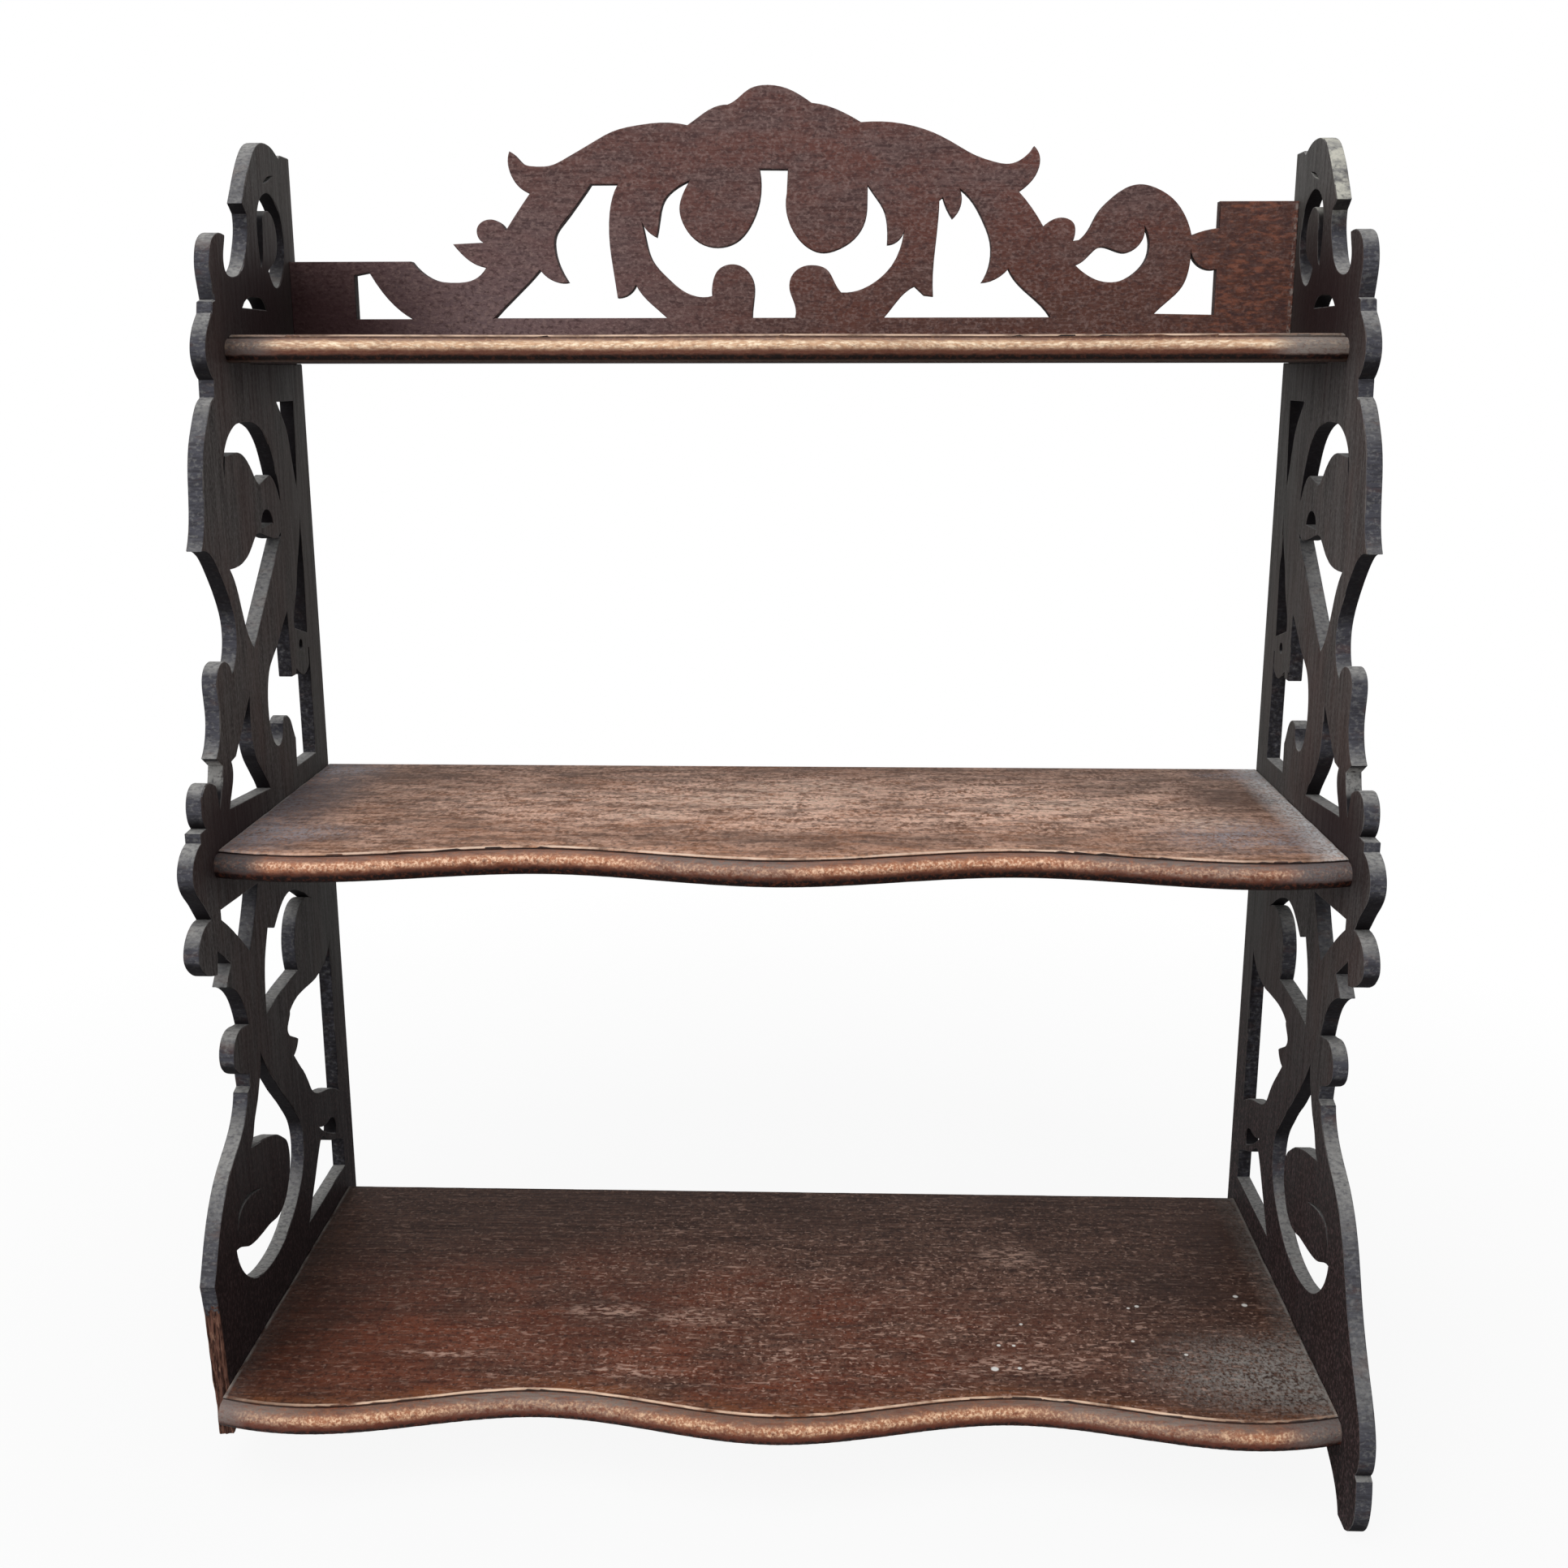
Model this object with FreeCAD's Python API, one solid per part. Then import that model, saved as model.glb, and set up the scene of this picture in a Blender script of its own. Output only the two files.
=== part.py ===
import FreeCAD, Part
import os

# Frame: +X right, +Y into the wall, +Z up, millimetres.
# The origin is the middle of the middle shelf's back edge, on the wall plane.

# Carcase
inner_width = 560.0        # between the inner faces of the two sides
side_thickness = 8.0
upper_bay = 250.0          # middle shelf top to top shelf top
lower_bay = 272.0          # bottom shelf top to middle shelf top
foot_reach = 280.0         # wall to the front of the foot

# Shelves
shelf_thickness = 14.0
top_reach = 118.0          # wall to the step of the nosing, at the shelf ends
middle_reach = 190.0
bottom_reach = 245.0
top_gap = 0.0              # shelf's back edge to the wall
middle_gap = 0.0
bottom_gap = 17.0
end_swell = 6.5            # how far the front swells near each end
end_swell_from_side = 50.0
hollow = 11.0              # how far it falls back between the swells
hollow_from_middle = 120.0
middle_swell = 8.5
nosing_step = 2.0          # drop from the shelf top to the bead
bead_reach = 8.0           # bead's front ahead of the step
bead_round = 5.5

# Stopped housings in the sides
housing_depth = 3.0
housing_stop = 30.0        # end of the tongue behind the nosing's step
tongue_shoulder = 4.0      # shelf top to the tongue's top
joint_gap = 0.1

# Crest
crest_thickness = 8.0
crest_gap = 4.0            # crest's back face to the wall
crest_groove = 1.5         # how deep the crest stands in the top shelf

# Screws through the sides, a pair for each shelf end
side_screw_length = 25.0
side_screw_radius = 1.75
side_head_radius = 3.5
side_screw_from_wall = 40.0
side_screw_from_step = 50.0

# Screws up through the top shelf into the crest
crest_screw_length = 24.0
crest_screw_radius = 1.5
crest_head_radius = 3.0
crest_screw_at = (-250.0, -48.0, 48.0, 250.0)

# Slots of the screw heads
slot_width = 0.8
slot_depth = 0.7

# Fretwork drawings. A path is a start point and then steps:
# one point is a straight line, two an arc, three or more a smooth curve.

# Side, as distance from the wall and height over the middle shelf top
side_outline = [
    (0, 347.5), (14, 347.5), (18.5, 345.5),
    (28, 349.4, 40, 350.8, 54, 348, 65, 340, 76, 327, 84, 316.3),
    (78, 311.5),
    (78.2, 303, 82, 294.5, 87, 286.8, 95, 281.2, 104, 279, 111, 279.2,
     116, 281.8, 117.3, 286.5, 115.5, 292.5, 113, 298.6),
    (120, 299.2, 127, 298, 133, 294.5, 136.5, 289, 138, 282.5, 137, 275, 134.5, 266.5),
    (138.5, 265.5), (140, 260),
    (148.5, 252, 152, 246, 153, 240, 151, 234.3, 144.5, 228),
    (145, 219.5),
    (152.5, 215, 158.5, 207.5, 163.5, 200, 167, 192, 169, 184, 170.5, 173, 173, 160, 179.5, 147),
    (165.5, 142.5, 158.5, 135.5, 146.5, 119.5, 140.5, 105, 142, 93, 151, 82),
    (154.5, 87.5, 161, 90, 167.5, 89, 172.5, 84, 173.5, 77, 172.5, 64, 175, 54, 182.5, 44.5),
    (174, 39), (177, 30, 182.5, 19),
    (185.5, 31.5),
    (192, 34.5, 198.5, 35.2, 204, 32.5, 207.3, 26, 207, 20, 203.5, 14.3),
    (211.5, 13.8), (211.5, 9),
    (218, 6.5, 223, 2, 225.5, -5, 224, -11, 219.5, -17, 212, -25),
    (206.5, -31.5),
    (213, -32, 220, -35, 225.5, -41.5, 226.3, -47, 222, -53.5, 214, -58.5, 204, -61.5),
    (201.5, -50), (184, -62.5), (193.5, -72),
    (182, -78, 175, -85, 170, -94, 167, -102.5),
    (173, -101.3, 181, -100.3, 187.5, -102.8, 192, -110, 191, -117, 186, -122, 178.5, -125.8, 173, -128.3),
    (172, -135.5), (177, -137),
    (179.5, -143.5, 187, -152.5, 197.5, -159.5, 209.5, -166.5, 220, -175.5, 228, -185.5, 234.5, -196.5,
     241, -209.5, 249, -223, 259, -236.5, 268, -247.5, 275, -257.5, 279, -267),
    (279.6, -273, 278.8, -279, 275.5, -284.5),
    (278.5, -286),
    (280, -297, 277.5, -311, 267, -321),
    (256, -321),
    (251, -312.5, 243, -306, 234, -301.5, 225, -297.5, 216, -293.5),
    (44, -293.5),
    (30, -299, 21, -309, 18, -321),
    (0, -321),
]

side_windows = [
    # scroll in the head
    [(60, 286),
     (62, 298, 61, 312, 56, 319.5, 48, 324, 40, 325, 31, 322, 23, 316, 19.5, 308, 18.5, 300,
      20, 292, 24, 284.5, 31, 278, 37.5, 276.6, 44, 280, 47.5, 284.5),
     (43, 287, 37.5, 289.5, 32.5, 294, 30.5, 300, 31, 307, 35, 313, 42, 316, 49, 314, 53, 306, 60, 286)],
    # slit over the scroll
    [(47, 330), (39, 333.7, 32, 334.6), (40, 331.4, 47, 330)],
    # lens above the top shelf
    [(94, 264), (86, 268.6, 74, 269.8, 62, 268.8, 56, 264)],
    # crescent of the upper bay
    [(140, 180),
     (139.5, 188, 133, 197.5, 126.5, 202, 119, 205, 110, 206.2, 98, 206.2, 89, 205, 81, 202.5,
      74, 198.5, 67, 191.5, 62.5, 184, 58, 174, 55.5, 162),
     (58.5, 167, 63, 173, 71, 177.3),
     (88, 173.5),
     (93, 176, 97.5, 180.5, 103, 185.5, 109.7, 189.5, 120, 191.5),
     (137, 190.5)],
    # half-round hole
    [(90, 150.5), (80, 159.4, 70.5, 151.5)],
    # long window under the round lobe
    [(141.7, 134),
     (128, 134.2, 119.4, 135.8, 111, 139.3, 104, 144, 98.6, 147.6),
     (94, 148),
     (83, 145.5, 71, 143, 64, 142.8, 59, 145),
     (59, 143), (115, 90),
     (128, 109, 133.3, 122, 141.7, 134)],
    # slots beside the stile
    [(50, 215.5), (21, 215.5), (22.5, 190), (25, 168),
     (28, 176, 31, 186, 34, 196, 38, 203, 43, 208.5, 50, 215.5)],
    [(23.6, 150), (28.5, 134, 33, 125, 40, 107, 45, 99, 46, 90), (24, 84), (22.3, 120)],
    [(40, 79), (37, 82, 34, 79), (37, 76, 40, 79)],
    # window round the pendant and the scroll knob
    [(57, 101),
     (69, 92, 79, 84, 88, 78.5, 93.5, 74, 97, 68, 99.5, 58, 99.5, 48, 96.5, 38, 90.5, 31.5,
      84, 31, 79.5, 35.5, 78, 41),
     (72.5, 44.3, 66, 42, 61, 34.5, 57.5, 28.5),
     (58.5, 12), (22.5, 12), (22.5, 75), (24, 75), (24, 65.5),
     (28, 62.5, 34, 61, 41, 63, 48, 66.5),
     (49, 63.5), (56, 63.5)],
    # sliver behind the tail
    [(128, 66),
     (129.3, 54, 128.5, 42, 125, 32.5, 118.5, 24.5, 106.5, 11),
     (169, 15.5),
     (162.5, 26, 160.3, 32, 161.5, 38.3),
     (154.5, 39.5)],
    # triangle under the middle shelf
    [(193, -31), (138, -34), (146, -49, 157, -65), (170, -53.5, 183, -43, 193, -36)],
    # window with the round lobe
    [(139.5, -107.5),
     (138.5, -96, 134.5, -76, 130, -67, 127.5, -62.5),
     (122.5, -63.3, 116.7, -66),
     (106.7, -59.2, 100, -56, 91.7, -54.2, 84, -54.5, 75, -57, 65, -61.5, 53, -68.5),
     (62, -66, 70, -66.5, 77.5, -70, 83, -77, 85.8, -86, 85.5, -95, 83.5, -102.5),
     (112, -104, 139.5, -107.5)],
    # long rear window with the tooth
    [(101.7, -120.8),
     (93.3, -118.3, 85, -117.5, 68.3, -118.3, 53.3, -119.3),
     (40, -117.5, 28.5, -112.8, 22, -107),
     (22.3, -204),
     (33, -198, 46, -193, 55, -190.5, 65, -187, 73, -181.5, 77.5, -175, 83.3, -166.7, 90, -159.2, 100, -148.3),
     (93.3, -145, 90.8, -141.7),
     (95, -139.2, 101.7, -135.8, 106.7, -131.7, 107.5, -129.2, 105.8, -126.5, 101.7, -120.8)],
    # wedge and small rear window
    [(35, -227), (33.6, -221.5, 36.5, -216.5, 42, -213.8, 48, -213.9, 55, -213, 64, -209.5),
     (58, -214.5, 51, -219, 43, -223.4, 35, -227)],
    [(63, -217), (57.9, -218.8, 50.7, -224, 36, -231, 20.5, -238), (20.5, -256), (95, -256),
     (84, -242, 77.5, -234, 72, -226.8, 63, -217)],
    # ring round the egg-shaped leaf
    [(153.5, -123.5),
     (145, -136.7, 135, -148.3, 125, -160, 113.3, -171.7, 104.5, -182, 98.5, -190, 95.2, -200, 95.5, -211,
      104.3, -225, 113.2, -232, 125.7, -239.3, 140, -243.8, 157.9, -245.2, 175.7, -242.9, 188, -238.4,
      199, -230.4, 206, -221.4, 209.6, -210.7),
     (200.7, -213.4, 191.8, -217.9, 181, -220.5, 168.6, -221.8, 157.9, -222.8, 147, -225, 139, -224.5,
      131, -221, 124.5, -214, 120.5, -206, 120, -198, 122.5, -190.5, 128, -185.7, 136.5, -180, 146, -176,
      156, -172.7, 168, -170, 178, -167.5),
     (173.3, -163.3, 170, -156.7, 163.3, -148.3, 159, -141, 155.5, -134, 153.5, -123.5)],
    # saw slit in the leaf
    [(206, -199.8), (202, -192.6, 188, -190.2, 171.5, -195.2), (188, -191.9, 200.6, -194, 206, -199.8)],
]

# What has broken away from the left foot, along the grain
broken_foot = [
    (300, -212.4), (242.8, -212.4), (241.4, -219.6), (239.4, -232), (238.2, -244.4), (237.3, -256), (236.5, -268.6),
    (235.4, -281), (235, -293), (233.6, -304), (233.6, -325), (300, -325),
]

# Crest, as distance from the middle and height over the top shelf
crest_outline = [
    (-280, 0), (-280, 41.5), (-211, 41.5),
    (-207, 37, -198, 31.5, -187, 30, -178, 31, -169, 38),
    (-176, 40.4, -183, 46, -187, 50.7),
    (-170, 51.5),
    (-173, 55, -173, 59.5, -167, 63.7, -161, 62.6, -157, 58),
    (-150, 68, -143, 77.4),
    (-149, 81, -153, 87, -154.6, 94, -153.5, 99.5),
    (-150, 97, -146, 93, -139, 91.5, -131, 92, -122, 96, -109, 103, -96, 109.6, -83, 112.6, -68, 114, -55, 112.6),
    (-50, 116, -42, 121, -33, 123),
    (-29, 125, -21, 131, -11, 133, 0, 131, 8, 127, 13, 123.7),
    (22, 122, 32, 118, 40, 113.7),
    (56, 113.7, 67, 112, 80, 108, 91, 102.6, 102, 96.7, 113, 93, 122, 92, 129, 95, 134.5, 101),
    (138, 94, 136.5, 87, 132, 81, 127, 77.4),
    (133.5, 70, 141, 59),
    (144.6, 62, 152, 63.7, 157.6, 60.7, 158.5, 55, 157.6, 51.5),
    (161, 52), (167, 59, 170.6, 66, 178, 74, 185, 79, 193.5, 81, 202, 79, 211, 73.7, 218.7, 64, 222.4, 54.4),
    (228, 56.3, 237, 58),
    (237, 72), (280, 72), (280, 0),
]

crest_windows = [
    [(-243.5, 34), (-235, 35.6), (-231, 29, -224, 20, -212, 10.4), (-243.5, 10.4)],
    [(-109, 82), (-94, 82),
     (-97, 75.6, -99, 66, -99, 48, -97, 33, -95.4, 21.5),
     (-90.6, 22.6, -85, 28.5), (-81, 22.6, -74, 16, -68, 10.8),
     (-165, 10.8), (-153.5, 22, -144, 31, -138.7, 36.7),
     (-135, 33, -129, 30, -123, 30),
     (-127.6, 38.5, -130, 48, -129.4, 55, -124, 62.6, -116.5, 72, -109, 82)],
    [(-15.4, 89.6), (0, 89.4), (-0.6, 77),
     (-0.6, 66, 3, 57, 9.4, 49.6, 18.7, 45.6, 28, 47.4, 37, 53, 43, 62.6, 44, 73, 44, 81),
     (48, 75.6, 53, 68, 55, 59, 55, 49.6), (59.4, 50.7, 64.3, 56),
     (62.4, 48, 57.6, 38.5, 50, 31, 41, 26, 29.8, 24.4),
     (26, 30, 21.7, 36.7, 14.3, 39, 7.6, 38, 2, 33, 1, 25.6, 3, 20, 4, 10.8),
     (-19.8, 10.8),
     (-18.7, 22, -19, 30, -24, 37.4, -31, 39.6, -38.7, 36.7, -41.7, 31, -42.4, 22.6),
     (-48, 22, -59, 25.6, -68, 33, -75.7, 42, -79, 53, -82, 65),
     (-79.4, 59, -73, 54),
     (-71, 64.4, -68, 74, -63, 79, -54.3, 83.7),
     (-57, 79, -60, 70, -57, 59, -50, 51.5, -38.7, 48.5, -27.6, 52, -20, 61, -15.7, 72, -15.4, 89.6)],
    [(83.5, 73), (85.4, 74.4), (88, 68, 91, 63.3), (94.6, 68, 94.6, 79),
     (102, 72, 107.6, 62.6, 112, 51.5, 112.4, 42, 107.6, 29.3),
     (115, 31, 122.4, 36.7), (126, 31, 133.5, 23.7, 141, 17.4, 146.5, 10.8),
     (54, 10.8), (59.4, 17.4, 65, 23.7, 70.6, 27.4), (76, 22.6), (81, 22), (81, 40, 82.8, 59, 83.5, 73)],
    [(159.4, 38.5), (165, 42, 172.4, 48, 180, 46.5, 187, 45, 192.8, 48, 196.5, 59),
     (199.4, 51.5, 198.3, 42, 192.8, 35, 183.5, 30, 174, 30, 165, 34, 159.4, 38.5)],
    [(222.5, 48), (224, 42, 230, 36.7, 237, 36), (237, 12), (204, 12.6),
     (211, 19, 218.7, 27, 222, 36.7, 222.5, 48)],
]

# Sizes the fretwork was drawn at; it stretches from these to the sizes at the top
drawn_width = crest_outline[-1][0] - crest_outline[0][0]
drawn_reach = max(max(step[0::2]) for step in side_outline)
drawn_upper = 250.0
drawn_lower = 272.0

half_width = inner_width / 2
middle_top = shelf_thickness / 2
top_top = middle_top + upper_bay
bottom_top = middle_top - lower_bay


def side_place(out, up):
    """Point of the side drawing, stretched to the bays and the reach, on the right inner face."""
    stretch = upper_bay / drawn_upper if up > 0 else lower_bay / drawn_lower
    return FreeCAD.Vector(half_width, -out * foot_reach / drawn_reach, middle_top + up * stretch)


def crest_place(across, up):
    """Point of the crest drawing on the crest's front face."""
    return FreeCAD.Vector(across * inner_width / drawn_width, -crest_gap - crest_thickness, top_top + up)


def wire_of(path, place):
    start = place(*path[0])
    at = start
    edges = []
    for step in path[1:]:
        points = [place(step[i], step[i + 1]) for i in range(0, len(step), 2)]
        if len(points) == 1:
            edges.append(Part.makeLine(at, points[0]))
        elif len(points) == 2:
            edges.append(Part.Arc(at, points[0], points[1]).toShape())
        else:
            curve = Part.BSplineCurve()
            curve.interpolate([at] + points)
            edges.append(curve.toShape())
        at = points[-1]
    if not at.isEqual(start, 1e-6):
        edges.append(Part.makeLine(at, start))
    return Part.Wire(edges)


def fret_board(outline, windows, place, through):
    wires = [wire_of(path, place) for path in [outline] + windows]
    return Part.makeFace(wires, "Part::FaceMakerBullseye").extrude(through)


def mirrored(shape):
    return shape.mirror(FreeCAD.Vector(0, 0, 0), FreeCAD.Vector(1, 0, 0))


def shelf_plate(reach, gap, low, high):
    """Board with the serpentine front, between two heights."""
    swell_x = half_width - end_swell_from_side
    front = [
        (-half_width, reach), (-swell_x, reach + end_swell), (-hollow_from_middle, reach - hollow),
        (0, reach + middle_swell),
        (hollow_from_middle, reach - hollow), (swell_x, reach + end_swell), (half_width, reach),
    ]
    points = [FreeCAD.Vector(x, -out, low) for x, out in front]
    curve = Part.BSplineCurve()
    curve.interpolate(points)
    back = [FreeCAD.Vector(half_width, -gap, low), FreeCAD.Vector(-half_width, -gap, low)]
    edges = [curve.toShape(), Part.makeLine(points[-1], back[0]), Part.makeLine(back[0], back[1]),
             Part.makeLine(back[1], points[0])]
    return Part.Face(Part.Wire(edges)).extrude(FreeCAD.Vector(0, 0, high - low))


def tongue(reach, gap, top, slack):
    """End of a shelf in the right side's housing; slack makes it the housing."""
    corner = FreeCAD.Vector(half_width, -(reach - housing_stop) - slack, top - shelf_thickness - slack)
    long = reach - housing_stop - gap + 2 * slack
    deep = housing_depth - joint_gap + slack
    return Part.makeBox(deep, long, shelf_thickness - tongue_shoulder + 2 * slack, corner)


def shelf(reach, gap, top):
    bead = shelf_plate(reach + bead_reach, gap, top - shelf_thickness, top - nosing_step)
    front = [edge for edge in bead.Edges if edge.Curve.TypeId == "Part::GeomBSplineCurve"]
    bead = bead.makeFillet(bead_round, front)
    board = bead.fuse(shelf_plate(reach, gap, top - nosing_step, top))
    end = tongue(reach, gap, top, 0)
    return board.fuse([end, mirrored(end)]).removeSplitter()


def crest_foot(slack):
    """Bottom of the crest in the top shelf's groove; slack makes it the groove."""
    corner = FreeCAD.Vector(-half_width, -crest_gap - crest_thickness - slack, top_top - crest_groove)
    return Part.makeBox(inner_width, crest_thickness + 2 * slack, crest_groove, corner)


def screw(length, radius, head_radius):
    """Slotted countersunk screw, its head flush at the origin and its point along +Z."""
    head_depth = head_radius - radius
    head = Part.makeCone(head_radius, radius, head_depth)
    shank = Part.makeCylinder(radius, length - head_depth, FreeCAD.Vector(0, 0, head_depth))
    return head.fuse(shank)


def slotted(plain, head_radius):
    corner = FreeCAD.Vector(-head_radius, -slot_width / 2, 0)
    return plain.cut(Part.makeBox(2 * head_radius, slot_width, slot_depth, corner))


def placed(shape, at, turn_axis, angle):
    copy = shape.copy()
    copy.Placement = FreeCAD.Placement(at, FreeCAD.Rotation(turn_axis, angle))
    return copy


shelves = [
    ("top_shelf", top_reach, top_gap, top_top),
    ("middle_shelf", middle_reach, middle_gap, middle_top),
    ("bottom_shelf", bottom_reach, bottom_gap, bottom_top),
]

# Screw positions
side_plain = screw(side_screw_length, side_screw_radius, side_head_radius)
side_slotted = slotted(side_plain, side_head_radius)
crest_plain = screw(crest_screw_length, crest_screw_radius, crest_head_radius)
crest_slotted = slotted(crest_plain, crest_head_radius)

side_spots = []
for name, reach, gap, top in shelves:
    for out in (side_screw_from_wall, reach - side_screw_from_step):
        side_spots.append(FreeCAD.Vector(half_width + side_thickness, -out, top - shelf_thickness / 2))
inward = FreeCAD.Vector(0, 1, 0)
right_holes = [placed(side_plain, spot, inward, -90) for spot in side_spots]
right_screws = [placed(side_slotted, spot, inward, -90) for spot in side_spots]

crest_middle = -crest_gap - crest_thickness / 2
crest_spots = [FreeCAD.Vector(x * inner_width / drawn_width, crest_middle, top_top - shelf_thickness)
               for x in crest_screw_at]
upward = FreeCAD.Vector(0, 0, 1)
crest_holes = [placed(crest_plain, spot, upward, 0) for spot in crest_spots]
crest_screws = [placed(crest_slotted, spot, upward, 0) for spot in crest_spots]

# Sides
right_side = fret_board(side_outline, side_windows, side_place, FreeCAD.Vector(side_thickness, 0, 0))
housings = [tongue(reach, gap, top, joint_gap) for name, reach, gap, top in shelves]
right_side = right_side.cut(housings + right_holes)
break_off = Part.Face(wire_of(broken_foot, side_place)).extrude(FreeCAD.Vector(side_thickness, 0, 0))
left_side = mirrored(right_side.cut(break_off))
right_side.exportStep("parts/right_side.step")
left_side.exportStep("parts/left_side.step")

# Shelves, drilled for their screws, and the crest's groove in the top one
in_shelves = right_holes + [mirrored(hole) for hole in right_holes] + crest_holes + [crest_foot(joint_gap)]
for name, reach, gap, top in shelves:
    board = shelf(reach, gap, top).cut(in_shelves)
    board.exportStep("parts/" + name + ".step")

# Crest
crest = fret_board(crest_outline, crest_windows, crest_place, FreeCAD.Vector(0, crest_thickness, 0))
crest = crest.fuse(crest_foot(0)).removeSplitter()
crest.cut(crest_holes).exportStep("parts/crest.step")

# Screws
Part.makeCompound(right_screws + [mirrored(s) for s in right_screws]).exportStep("parts/side_screws.step")
Part.makeCompound(crest_screws).exportStep("parts/crest_screws.step")
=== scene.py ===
import bpy, bmesh
from math import cos, pi, radians, sin
from mathutils import Matrix, Vector, noise
from mathutils.bvhtree import BVHTree


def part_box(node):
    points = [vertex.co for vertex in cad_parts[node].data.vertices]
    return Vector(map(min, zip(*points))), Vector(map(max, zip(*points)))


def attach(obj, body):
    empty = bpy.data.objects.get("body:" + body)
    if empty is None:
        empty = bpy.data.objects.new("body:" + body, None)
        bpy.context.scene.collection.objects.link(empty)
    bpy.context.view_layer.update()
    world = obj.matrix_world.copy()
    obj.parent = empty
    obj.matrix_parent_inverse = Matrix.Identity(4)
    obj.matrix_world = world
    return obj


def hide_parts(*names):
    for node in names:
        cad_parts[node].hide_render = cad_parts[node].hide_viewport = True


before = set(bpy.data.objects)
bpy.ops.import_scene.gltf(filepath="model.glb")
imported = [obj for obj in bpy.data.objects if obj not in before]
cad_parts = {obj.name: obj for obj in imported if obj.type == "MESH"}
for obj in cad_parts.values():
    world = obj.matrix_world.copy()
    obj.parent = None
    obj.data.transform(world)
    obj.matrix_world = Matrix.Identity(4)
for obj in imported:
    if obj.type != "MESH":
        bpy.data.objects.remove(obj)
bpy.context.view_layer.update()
mm = 0.001
anywhere = 900.0  # mm, a reach past the whole object
print("frame:", len(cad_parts), "nodes")


def linear(hexColour):  # sRGB hex to linear RGBA
    parts = [int(hexColour[i:i + 2], 16) / 255 for i in (1, 3, 5)]
    return tuple(c / 12.92 if c <= 0.04045 else ((c + 0.055) / 1.055) ** 2.4 for c in parts) + (1.0,)


def add(tree, kind, feeds=None, **settings):  # one node, its settings, and what feeds its sockets
    node = tree.nodes.new("ShaderNode" + kind)
    for name, value in settings.items():
        setattr(node, name, value)
    for socket, value in (feeds or {}).items():
        if isinstance(value, bpy.types.Node):
            value = value.outputs[0]
        if isinstance(value, bpy.types.NodeSocket):
            tree.links.new(value, node.inputs[socket])
        else:
            node.inputs[socket].default_value = value
    return node


def newMaterial(name):
    material = bpy.data.materials.new(name)
    material.use_nodes = True
    material.node_tree.nodes.clear()
    return material, material.node_tree


def axes(tree):  # a point of the object, in metres
    place = add(tree, "TexCoord").outputs["Object"]
    return add(tree, "SeparateXYZ", {0: place}).outputs


# A grain's sizes are its length and width in mm, where its cover starts and where it is full, a shift and the detail.
# Walnut's pores and dust are a few tenths of a millimetre wide, too fine to show, so they are drawn 1 to 2 mm wide.
def grain(tree, along, length, width, low, high, shift=0.0, detail=5.0):  # cover drawn out along the grain
    scale = [1 / (width * mm)] * 3
    scale["XYZ".index(along)] = 1 / (length * mm)
    place = add(tree, "TexCoord").outputs["Object"]
    place = add(tree, "Mapping", {0: place, "Scale": scale, "Location": (shift, shift, shift)})
    drawn = add(tree, "TexNoise", {0: place, "Scale": 1.0, "Detail": detail, "Roughness": 0.6})
    return add(tree, "MapRange", {0: drawn, 1: low, 2: high}, interpolation_type="SMOOTHSTEP")


def grains(tree, along, sizes):  # every grain of a look, by name
    return {name: grain(tree, along, *size) for name, size in sizes.items()}


def zone(tree, middle, reach, core):  # cover around a place, full in its core and gone at its reach, in mm
    place = add(tree, "TexCoord").outputs["Object"]
    shift = [-m / r for m, r in zip(middle, reach)]
    place = add(tree, "Mapping", {0: place, "Location": shift, "Scale": [1 / (r * mm) for r in reach]})
    away = add(tree, "VectorMath", {0: place}, operation="LENGTH").outputs["Value"]
    return add(tree, "MapRange", {0: away, 1: 1.0, 2: core}, interpolation_type="SMOOTHSTEP")


def over(tree, under, colour, *covers):  # a colour laid over another, where all its covers are
    cover = covers[0]
    for more in covers[1:]:
        cover = add(tree, "Math", {0: cover, 1: more}, operation="MULTIPLY")
    colours = [linear(c) if isinstance(c, str) else c for c in (under, colour)]
    return add(tree, "Mix", {0: cover, 6: colours[0], 7: colours[1]}, data_type="RGBA").outputs[2]


def woodShader(tree, colour, height, depth, roughness, gloss=0.1):  # dry wood with its grain raised, depth in mm
    bump = add(tree, "Bump", {"Height": height, "Strength": 0.6, "Distance": depth * mm})
    shader = add(tree, "BsdfPrincipled", {"Base Color": colour, "Normal": bump, "Roughness": roughness, "IOR": 1.5,
                                          "Specular IOR Level": gloss})
    add(tree, "OutputMaterial", {0: shader})


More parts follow.
